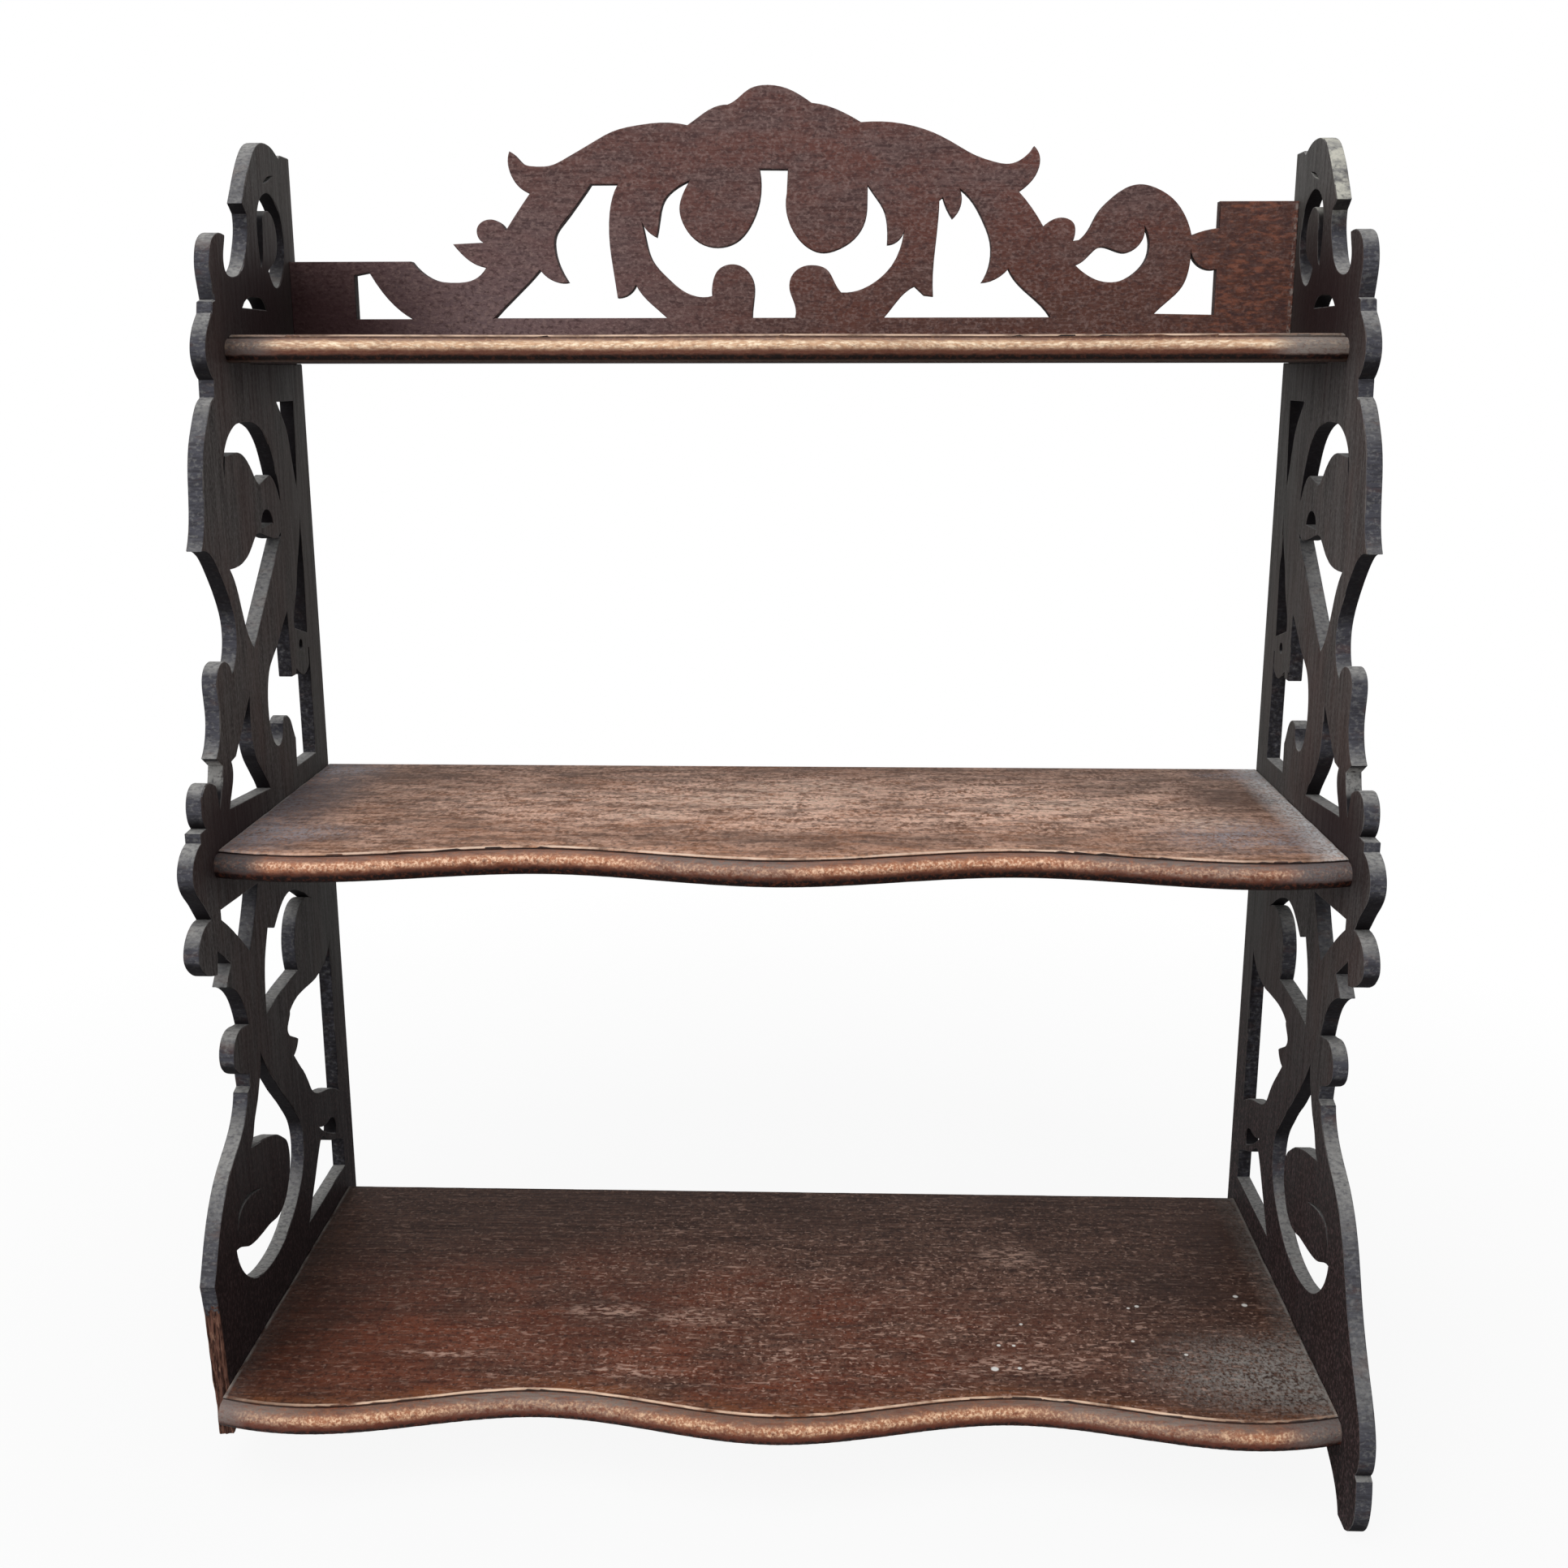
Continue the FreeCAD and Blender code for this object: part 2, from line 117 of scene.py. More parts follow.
# Walnut, sawn thin and stained nearly black, dry after long use: quiet upright grain, dust grey at the back,
# reddish black beside the shelf fronts, darker low down (partly stain, partly painted shade, more on the left side),
# arrises rubbed paler with a painted highlight along them.
sideFaceLook = {
    "body": "#4b4644", "deep": "#332e2d", "pale": "#656160", "red": "#4a322d", "low": "#130709", "rubAndHighlight": "#6f6d6c",
    "grey": "#4b4b49", "maroon": "#201214", "speck": "#624e4f",
    "grain": {"streak": (40, 2.4, 0.34, 0.62), "pores": (10, 1.2, 0.5, 0.66, 3.1),
              "pale": (2.2, 1.5, 0.42, 0.66, 5.5, 8.0), "red": (120, 45, 0.4, 0.62, 7.7),
              "maroon": (16, 2.0, 0.06, 0.42, 2.6), "speck": (2.0, 1.6, 0.47, 0.66, 6.7),
              "rubAndHighlight": (30, 12, 0.35, 0.6, 9.2)},
    "share": {"pale": 0.6, "red": 0.4, "pores": 0.5, "grey": 0.55, "maroon": 0.95, "rubAndHighlight": 0.7},
    # The first pair darkens the bottom of each side: partly stain and partly painted shade, heavier on the left side.
    "stainAndShadeShare": (0.93, 0.78), "speckShare": (0.3, 0.7), "apart": 100,  # left and right side, split in the middle
    "greyY": (-90, -30), "lowZ": (-50, -220),  # from and full, in mm
    "handled": [(-72, 272, 130, 70), (-165, 14, 95, 48)], "core": 0.25,  # y and z beside the shelf fronts, reach, in mm
    "roughness": (0.72, 0.6), "depth": 0.2,
}


def sideFaceWood(look):
    material, tree = newMaterial("stained_walnut_dry_face")
    x, y, z = axes(tree)
    pattern, share = grains(tree, "Z", look["grain"]), look["share"]
    colour = over(tree, look["deep"], look["body"], pattern["streak"])
    colour = over(tree, colour, look["pale"], pattern["pale"], share["pale"])
    colour = over(tree, colour, look["red"], pattern["red"], share["red"])
    colour = over(tree, colour, look["deep"], pattern["pores"], share["pores"])
    start, full = look["greyY"]
    backward = add(tree, "MapRange", {0: y, 1: start * mm, 2: full * mm})
    colour = over(tree, colour, look["grey"], backward, share["grey"])
    for placeY, placeZ, reachY, reachZ in look["handled"]:
        beside = zone(tree, (0, placeY, placeZ), (anywhere, reachY, reachZ), look["core"])
        colour = over(tree, colour, look["maroon"], beside, pattern["maroon"], share["maroon"])
    # darker towards the bottom: partly stain, partly painted shade below the shelves, more of it on the left side
    start, full = look["lowZ"]
    low = add(tree, "MapRange", {0: z, 1: start * mm, 2: full * mm}, interpolation_type="SMOOTHSTEP")
    sides = {0: x, 1: -look["apart"] * mm, 2: look["apart"] * mm}
    left, right = look["stainAndShadeShare"]
    colour = over(tree, colour, look["low"], low, add(tree, "MapRange", {**sides, 3: left, 4: right}))
    left, right = look["speckShare"]
    colour = over(tree, colour, look["speck"], low, pattern["speck"],
                  add(tree, "MapRange", {**sides, 3: left, 4: right}))
    # paler along the arris: partly rubbed wear, partly a painted highlight line
    worn = add(tree, "Attribute", attribute_name="arris").outputs["Fac"]
    colour = over(tree, colour, look["rubAndHighlight"], worn, pattern["rubAndHighlight"], share["rubAndHighlight"])
    dry, smooth = look["roughness"]
    woodShader(tree, colour, pattern["pores"], look["depth"],
               add(tree, "MapRange", {0: pattern["streak"], 3: dry, 4: smooth}))
    return material


# The same board's fret-cut edge: faint saw marks, grey dust and painted light where it faces up, black painted
# shade underneath and deep in the cuts, black dirt towards the back, bleached at the right head.
sideEdgeLook = {
    "body": "#4a4a51", "deep": "#3a393e", "dust": "#9b9a97", "dirtAndShade": "#131012", "bleached": "#bdbbb0", "red": "#553f3a",
    "grain": {"saw": (9, 1.2, 0.34, 0.62), "red": (16, 9, 0.54, 0.68, 8.3), "dust": (2.4, 1.8, 0.48, 0.66, 3.7),
              "dustAndLight": (2.4, 1.8, 0.16, 0.66, 5.2, 8.0), "bleach": (12, 9, 0.3, 0.56, 4.4),
              "flecks": (2.2, 2.2, 0.24, 0.52, 2.5), "dirtAndShade": (3, 2.4, 0.2, 0.62, 6.4),
              "neck": (2.2, 2.2, 0.26, 0.56, 1.2)},
    "share": {"red": 0.5, "dust": 0.25, "dustAndLight": 0.85, "rear": 0.8, "below": 0.88, "neck": 0.85},
    "upward": (0.35, 0.95), "shadeFacingDown": (-0.05, -0.55), "level": (0.6, 0.25),  # from and full, by how it faces up
    "cutShade": (0.3, 0.62), "cutShadeShare": (0.9, 0.3),  # from and full; on a level edge and on one that faces up
    "rightX": (200, 250), "headZ": (310, 328), "forwardY": (-30, -50), "rearY": (-110, -60),  # from and full, in mm
    "neck": (-175, 44, 9, 13), "core": 0.4,  # y, z and reach of a dusty place, in mm
    "roughness": 0.8, "depth": 0.1,
}


def sideEdgeWood(look):
    material, tree = newMaterial("stained_walnut_sawn_edge")
    x, y, z = axes(tree)
    pattern, share = grains(tree, "X", look["grain"]), look["share"]
    normal = add(tree, "TexCoord").outputs["Normal"]
    facing = add(tree, "SeparateXYZ", {0: normal}).outputs["Z"]
    start, full = look["upward"]
    upward = add(tree, "MapRange", {0: facing, 1: start, 2: full}, interpolation_type="SMOOTHSTEP")
    start, full = look["shadeFacingDown"]
    shadeFacingDown = add(tree, "MapRange", {0: facing, 1: start, 2: full}, interpolation_type="SMOOTHSTEP")
    start, full = look["level"]
    level = add(tree, "MapRange", {0: facing, 1: start, 2: full})
    start, full = look["cutShade"]
    cutShade = add(tree, "Attribute", attribute_name="cutShade").outputs["Fac"]
    cutShade = add(tree, "MapRange", {0: cutShade, 1: start, 2: full}, interpolation_type="SMOOTHSTEP")
    within = {}
    for name, along in (("rightX", x), ("headZ", z), ("forwardY", y), ("rearY", y)):
        start, full = look[name]
        within[name] = add(tree, "MapRange", {0: along, 1: start * mm, 2: full * mm})
    colour = over(tree, look["deep"], look["body"], pattern["saw"])
    colour = over(tree, colour, look["red"], pattern["red"], share["red"])
    colour = over(tree, colour, look["dust"], pattern["dust"], share["dust"])
    # lighter where the edge faces up: partly settled dust, partly painted light from above
    colour = over(tree, colour, look["dust"], upward, pattern["dustAndLight"], share["dustAndLight"])
    colour = over(tree, colour, look["bleached"], within["rightX"], within["headZ"], within["forwardY"],
                  pattern["bleach"], pattern["flecks"])
    colour = over(tree, colour, look["dirtAndShade"], within["rearY"], level, pattern["dirtAndShade"], share["rear"])
    # black where the edge faces down: painted shade
    colour = over(tree, colour, look["dirtAndShade"], shadeFacingDown, share["below"])
    # black deep in narrow cuts: painted shade, by how closed in the cut is
    levelShare, upShare = look["cutShadeShare"]
    colour = over(tree, colour, look["dirtAndShade"], cutShade, add(tree, "MapRange", {0: upward, 3: levelShare, 4: upShare}))
    placeY, placeZ, reachY, reachZ = look["neck"]
    neck = zone(tree, (0, placeY, placeZ), (anywhere, reachY, reachZ), look["core"])
    colour = over(tree, colour, look["dust"], neck, pattern["neck"], share["neck"])
    woodShader(tree, colour, pattern["saw"], look["depth"], look["roughness"])
    return material


# Bare walnut where the board split along its grain: rust brown, fibrous and matt.
splitLook = {
    "body": "#6e4c40", "deep": "#33211d", "pale": "#a07a66", "paleShare": 0.8, "roughness": 0.85, "depth": 0.4,
    "grain": {"fibre": (14, 1.1, 0.38, 0.6), "pale": (7, 1.0, 0.54, 0.7, 6.1)},
}


def splitWood(look):
    material, tree = newMaterial("bare_walnut_split")
    pattern = grains(tree, "Z", look["grain"])
    colour = over(tree, look["deep"], look["body"], pattern["fibre"])
    colour = over(tree, colour, look["pale"], pattern["pale"], look["paleShare"])
    woodShader(tree, colour, pattern["fibre"], look["depth"], look["roughness"])
    return material


def boardFrom(node):  # merged copy of a CAD board
    bm = bmesh.new()
    bm.from_mesh(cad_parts[node].data)
    bmesh.ops.remove_doubles(bm, verts=bm.verts, dist=0.004 * mm)
    return bm


# Rims: how square and near a face lies, the spacing of points, rounds of inset, drop and rub (worn paler with a painted
# highlight), and the chips.
rimSizes = {"square": 0.999, "near": 0.01, "step": 5.0, "rounds": ((0.3, 1.0, 0.0), (0.7, 0.3, 1.0)),
            "chipsPerMetre": 70, "chipFrom": 0.1, "chipDepth": 1.5}  # near and step in mm


def easeRims(bm, axis, level, arris):  # rubs the rims of one flat face round; sizes in mm
    def flat():
        return [f for f in bm.faces if abs(f.normal[axis]) > rimSizes["square"]
                and abs(f.calc_center_median()[axis] - level * mm) < rimSizes["near"] * mm]
    inside = set(flat())
    rim = [e for e in bm.edges if len(e.link_faces) == 2 and sum(f in inside for f in e.link_faces) == 1]
    byCuts = {}
    for edge in rim:
        cuts = int(edge.calc_length() / (rimSizes["step"] * mm))
        if cuts:
            byCuts.setdefault(cuts, []).append(edge)
    for cuts, edges in byCuts.items():
        bmesh.ops.subdivide_edges(bm, edges=edges, cuts=cuts)
    # the arris mark carries rubbed wear and a painted highlight line
    worn = bm.verts.layers.float.get("arris") or bm.verts.layers.float.new("arris")
    faces = flat()
    outward = faces[0].normal.copy()
    for inset, drop, rubAndHighlight in rimSizes["rounds"]:
        made = bmesh.ops.inset_region(bm, faces=faces, thickness=inset * arris * mm, depth=0.0, use_even_offset=True,
                                      use_boundary=True)
        inner = {v for f in faces for v in f.verts}
        outer = {v for f in made["faces"] for v in f.verts} - inner
        for vert in outer:
            chip = 0.0
            if rubAndHighlight:  # chipped here and there
                chip = max(0.0, noise.noise(vert.co * rimSizes["chipsPerMetre"]) - rimSizes["chipFrom"])
            vert.co -= outward * (drop + chip * rimSizes["chipDepth"]) * arris * mm
            vert[worn] = rubAndHighlight
        for vert in inner:
            vert[worn] = 0.0


cutSizes = {"reach": 40.0, "lift": 0.05, "angles": (-60, -30, 0, 30, 60), "flat": 0.3}  # mm and degrees


def markCutShade(bm, sizes):  # how closed in a cut edge is, for the painted shade deep in the cuts: 0 is open, 1 closed in
    cutShade = bm.verts.layers.float.new("cutShade")
    shape = BVHTree.FromBMesh(bm)
    reach = sizes["reach"] * mm
    found = {}
    for face in bm.faces:
        if abs(face.normal.x) > sizes["flat"]:
            continue
        start = face.calc_center_median() + face.normal * sizes["lift"] * mm
        near = 0.0
        for angle in sizes["angles"]:
            ray = Matrix.Rotation(radians(angle), 3, "X") @ face.normal
            away = shape.ray_cast(start, ray, reach)[3]
            near += 0.0 if away is None else 1 - away / reach
        for vert in face.verts:
            found.setdefault(vert, []).append(near / len(sizes["angles"]))
    for vert, values in found.items():
        vert[cutShade] = sum(values) / len(values)


sharpFrom = 20  # degrees


def finishPiece(bm, name, node, materials):
    mesh = bpy.data.meshes.new(name)
    bm.to_mesh(mesh)
    bm.free()
    if "custom_normal" in mesh.attributes:
        mesh.attributes.remove(mesh.attributes["custom_normal"])
    for material in materials:
        mesh.materials.append(material)
    for face in mesh.polygons:
        face.use_smooth = True
    mesh.set_sharp_from_angle(angle=radians(sharpFrom))
    piece = bpy.data.objects.new(name, mesh)
    bpy.context.collection.objects.link(piece)
    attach(piece, "root")
    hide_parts(node)
    print("piece:", name, len(mesh.polygons), "faces")


# Sides. The left foot has split off along the grain.
sideSizes = {
    "arris": 0.55, "inner": 280.0, "outer": 288.0,  # mm
    "front": -228.0, "back": -245.0, "top": -212.0, "bare": -219.0, "ragged": 7.0,  # the split, in mm
    "ridge": 1.3, "fibre": 1.4, "length": 16.0, "deepens": 12.0,  # its fibres, in mm
    "cuts": 7, "forward": -0.3, "fine": 0.4, "finer": 2.7, "raggedScale": 0.4,
}
facesMain = 0.6  # a face turned to a board's main side has at least this much of its normal there
faceWood = sideFaceWood(sideFaceLook)
edgeWood = sideEdgeWood(sideEdgeLook)


def splitFaces(bm, sizes):
    found = []
    for face in bm.faces:
        centre = face.calc_center_median() / mm
        forward = face.normal.y < sizes["forward"]
        if forward and sizes["back"] < centre.y < sizes["front"] and centre.z < sizes["top"]:
            found.append(face)
    return found


for node, hand in (("left_side", -1), ("right_side", 1)):
    bm = boardFrom(node)
    if hand < 0:
        edges = {e for f in splitFaces(bm, sideSizes) for e in f.edges}
        bmesh.ops.subdivide_edges(bm, edges=list(edges), cuts=sideSizes["cuts"], use_grid_fill=True)
        for vert in {v for f in splitFaces(bm, sideSizes) for v in f.verts}:
            spot = Vector((vert.co.x / sideSizes["fibre"], 0, vert.co.z / sideSizes["length"])) / mm
            deeper = min(1.0, max(0.0, sideSizes["top"] - vert.co.z / mm) / sideSizes["deepens"])
            ridge = noise.noise(spot) + sideSizes["fine"] * noise.noise(spot * sideSizes["finer"])
            vert.co.y += ridge * sideSizes["ridge"] * deeper * mm
    markCutShade(bm, cutSizes)
    for level in ("inner", "outer"):
        easeRims(bm, 0, hand * sideSizes[level], sideSizes["arris"])
    for face in bm.faces:
        face.material_index = 0 if abs(face.normal.x) > facesMain else 1
    woods = [faceWood, edgeWood]
    if hand < 0:
        woods.append(splitWood(splitLook))
        for face in splitFaces(bm, sideSizes):
            centre = face.calc_center_median() / mm
            ragged = sideSizes["ragged"] * noise.noise(centre * sideSizes["raggedScale"])
            if centre.z < sideSizes["bare"] + ragged:
                face.material_index = 2
    finishPiece(bm, node + "_board", node, woods)


# Crest board, walnut with a thin red-brown stain, dull: short level grain from purple brown to rust; the sawn edges use
# a darker copy of the face colours, as painted shade.
crest = {
    "arris": 0.5, "front": -12.0, "back": -4.0,  # mm
    "face": {"body": "#6f5754", "deep": "#463434", "pale": "#927a75", "red": "#6b4139", "low": "#5b3a2f",
             "grey": "#7b6a6e", "dark": "#2b1618", "joint": "#978c86", "rust": "#98604c"},
    # the edge colours are the face colours darkened: painted shade on the sawn edges
    "edge": {"body": "#3f3030", "deep": "#2b2021", "pale": "#5c4c49", "red": "#3d2623", "low": "#33211c",
             "grey": "#3f3436", "dark": "#1c1314", "joint": "#5c4c49", "rust": "#3d2623"},
    "grain": {"streak": (14, 1.6, 0.3, 0.68), "pores": (2.0, 1.5, 0.44, 0.68, 3.3, 8.0), "red": (50, 18, 0.4, 0.6, 1.7),
              "pale": (9, 1.1, 0.46, 0.74, 4.8), "deep": (2.6, 1.6, 0.48, 0.68, 6.9, 8.0),
              "rust": (6, 2.2, 0.48, 0.64, 8.2), "blotch": (9, 4.0, 0.46, 0.62, 9.9)},
    "jointGrain": (3, 2, 0.46, 0.6, 3.9),
    "share": {"grey": 0.6, "end": 0.7, "pale": 0.35, "deep": 0.75, "rust": 0.6, "blotch": 0.6, "dark": 0.88,
              "joint": 0.85},
    "within": {"lowZ": (340, 270, 0, 1), "rightX": (-120, 100, 0.1, 0.65), "endX": (200, 245, 0, 1),
               "redX": (-200, 50, 0.3, 0.8), "greyX": (0, -140, 0, 1),
               "jointX": (277.2, 278.4, 0, 1)},  # from and to in mm, and the share there
    "dark": ((-275, -8, 262), (115, anywhere, 66), 0.2),  # middle and reach in mm, and core
    "poreShare": (0.6, 0.35),  # along the crest and at its right end
    "roughness": 0.7, "depth": 0.2,
}


def crestWood(part):
    material, tree = newMaterial("stained_walnut_dull_crest_" + part)
    x, _, z = axes(tree)
    look, share = crest[part], crest["share"]
    pattern, within = grains(tree, "X", crest["grain"]), {}
    for name, (start, stop, before, after) in crest["within"].items():
        along = z if name == "lowZ" else x
        within[name] = add(tree, "MapRange", {0: along, 1: start * mm, 2: stop * mm, 3: before, 4: after})
    colour = over(tree, look["deep"], look["body"], pattern["streak"])
    colour = over(tree, colour, look["red"], pattern["red"], within["redX"])
    colour = over(tree, colour, look["grey"], within["lowZ"], within["greyX"], share["grey"])
    colour = over(tree, colour, look["low"], within["lowZ"], within["rightX"])
    colour = over(tree, colour, look["low"], within["endX"], share["end"])
    before, after = crest["poreShare"]
    colour = over(tree, colour, look["pale"], pattern["pores"],
                  add(tree, "MapRange", {0: within["endX"], 3: before, 4: after}))
    colour = over(tree, colour, look["pale"], pattern["pale"], share["pale"])
    colour = over(tree, colour, look["deep"], pattern["deep"], share["deep"])
    colour = over(tree, colour, look["rust"], within["endX"], pattern["rust"], share["rust"])
    colour = over(tree, colour, look["deep"], within["endX"], pattern["blotch"], share["blotch"])
    colour = over(tree, colour, look["dark"], zone(tree, *crest["dark"]), share["dark"])
    jointDust = grain(tree, "Z", *crest["jointGrain"])
    colour = over(tree, colour, look["joint"], within["jointX"], jointDust, share["joint"])
    woodShader(tree, colour, pattern["pores"], crest["depth"], crest["roughness"])
    return material


bm = boardFrom("crest")
for level in ("front", "back"):
    easeRims(bm, 1, crest[level], crest["arris"])
for face in bm.faces:
    face.material_index = 0 if abs(face.normal.y) > facesMain else 1
finishPiece(bm, "crest_board", "crest", [crestWood("face"), crestWood("edge")])


# Shelf boards, walnut: stain worn off the tops in fine flecks along the grain, golden behind the front edge, a rubbed
# pale arris with a painted highlight, painted shade towards the back, grey dust at the ends. Places are x, y and their
# reach in mm, and ends are from, to and share.
shelfLooks = {
    "top_shelf": {
        "body": "#6e594e", "deep": "#4a3a33", "pale": "#8d776b", "warm": "#6b4a3c", "handled": "#7a5a46",
        "arris": "#d9bca6", "scratch": "#b79c8f", "leftDust": "#77716c", "rightDust": "#77716c", "hazeDust": "#77716c",
        "wear": 0.6, "patches": (0.6, 0.3), "fleck": (2.8, 3.4), "marks": (0.62, 0.64), "lines": 1.7,
        "scratches": 0.1, "back": 0.3, "left": (-225, -275, 0.5), "right": (225, 275, 0.6),
        "worn": (0, -60, 320, 120), "warmth": (0, -60, 200, 100), "scuffs": [], "haze": [], "stains": [],
        "paint": []},
    "middle_shelf": {
        "body": "#8c6249", "deep": "#4d3529", "pale": "#efc6b0", "warm": "#a56f4f", "handled": "#bd8765",
        "arris": "#e6cab5", "scratch": "#e3c6b2", "leftDust": "#77747a", "rightDust": "#d6d8da", "hazeDust": "#98949a",
        "wear": 1.0, "patches": (0.88, 0.55), "fleck": (2.8, 3.8), "marks": (0.62, 0.64), "lines": 2.4,
        "scratches": 0.3, "back": 0.45, "left": (-232, -275, 0.95), "right": (260, 275, 0.95),
        "worn": (50, -86, 320, 82), "warmth": (0, -95, 330, 200),
        "scuffs": [(-70, -118, 34, 14), (-20, -84, 95, 28), (145, -92, 62, 22), (10, -52, 75, 20),
                   (225, -128, 40, 20)],
        "haze": [(240, -152, 62, 45), (-258, -158, 58, 26), (-268, -18, 40, 16), (266, -18, 40, 18)],
        "stains": [(-272, -92, 52, 60), (-272, -92, 40, 50), (190, -48, 52, 26), (250, -66, 46, 62),
                   (246, -70, 36, 50), (10, -162, 190, 18)],
        "paint": []},
    "bottom_shelf": {
        "body": "#523528", "deep": "#2a1914", "pale": "#947060", "warm": "#783a22", "handled": "#8d5634",
        "arris": "#ecccb2", "scratch": "#c3a08f", "leftDust": "#6b6461", "rightDust": "#98948f", "hazeDust": "#9b9792",
        "wear": 0.46, "patches": (0.35, 0.2), "fleck": (2.4, 2.6), "marks": (0.6, 0.6), "lines": 1.6,
        "scratches": 0.74, "back": 0.6, "left": (-264, -279, 0.35), "right": (264, 279, 0.45),
        "worn": (60, -150, 310, 150), "warmth": (-70, -190, 330, 130),
        "scuffs": [(-95, -160, 34, 13), (-50, -165, 28, 11), (-79, -218, 40, 8), (-177, -204, 42, 5),
                   (128, -207, 50, 14), (130, -95, 26, 16)],
        "haze": [(262, -210, 95, 52)],
        "stains": [(-275, -170, 80, 120), (225, -130, 75, 70), (262, -80, 40, 50), (-95, -160, 60, 50)],
        "paint": [(113, -210, 2.4), (126, -209, 1.4), (117, -188, 1.3), (125, -188, 1.2), (131, -167, 1.2),
                  (197, -147, 1.5), (192, -149, 1.1), (189, -182, 1.2), (215, -194, 1.3), (254, -135, 1.7),
                  (257, -144, 1.9)]},  # x, y and radius
}
shelfTop = {
    "arris": 1.1, "reach": 16.5, "lap": 1.0, "wave": 9.5, "waveLength": 235.0, "band": 16.0, "skin": 60.0,  # mm
    "shadedBackY": (-65, -5), "jointX": (277.5, 279), "arrisFront": (30, 20), "arrisEnds": (255, 200),  # from and full, in mm
    "grain": {"patchy": (70, 40, 0.36, 0.6, 1.7), "warm": (45, 22, 0.2, 0.7, 6.6), "handled": (24, 7, 0.3, 0.6, 4.1),
              "dark": (16, 2.6, 0.48, 0.7, 9.6), "palePatch": (22, 9, 0.43, 0.58, 5.3),
              "darkPatch": (26, 8, 0.47, 0.63, 7.4), "stain": (16, 7, 0.16, 0.6, 3.1),
              "scuff": (6, 2.2, 0.48, 0.6, 5.8), "speckle": (1.5, 2.0, 0.36, 0.64, 7.9, 8.0),
              "haze": (26, 14, 0.2, 0.54, 2.2), "arris": (22, 12, 0.3, 0.58, 7.1)},
    "jointGrain": (16, 5, 0.36, 0.55, 5.9),
    "lineLength": 55.0, "lineCover": (0.34, 0.66), "paleFleck": (0.43, 0.6, 3.3), "darkFleck": (0.48, 0.68, 8.8),
    "dash": ((7, 2.4), 0.1, (4.7, 1.5)), "dot": ((2.8, 2.6), 0.11, (2.9, 1.0)),  # size in mm, rise, shift and detail
    "share": {"warm": 0.8, "handled": 0.6, "dark": 0.65, "darkFleck": 0.7, "stain": 0.6, "scuff": 0.8, "haze": 0.85,
              "joint": 0.7},
    "core": {"worn": 0.3, "warmth": 0.3, "stain": 0.1, "scuff": 0.2, "haze": 0.15, "paint": 0.6},
    "patchy": 0.5, "outerWear": 0.35, "thinDust": 0.25,  # the least share of each
    "arrisRubAndHighlight": (0.1, 0.5), "arrisShare": (0.25, 0.95),  # from and full; at the ends and inside
    "jointDust": "#9b9792", "paint": "#e9e6e1", "roughness": (0.66, 0.54), "depth": 0.2,
}


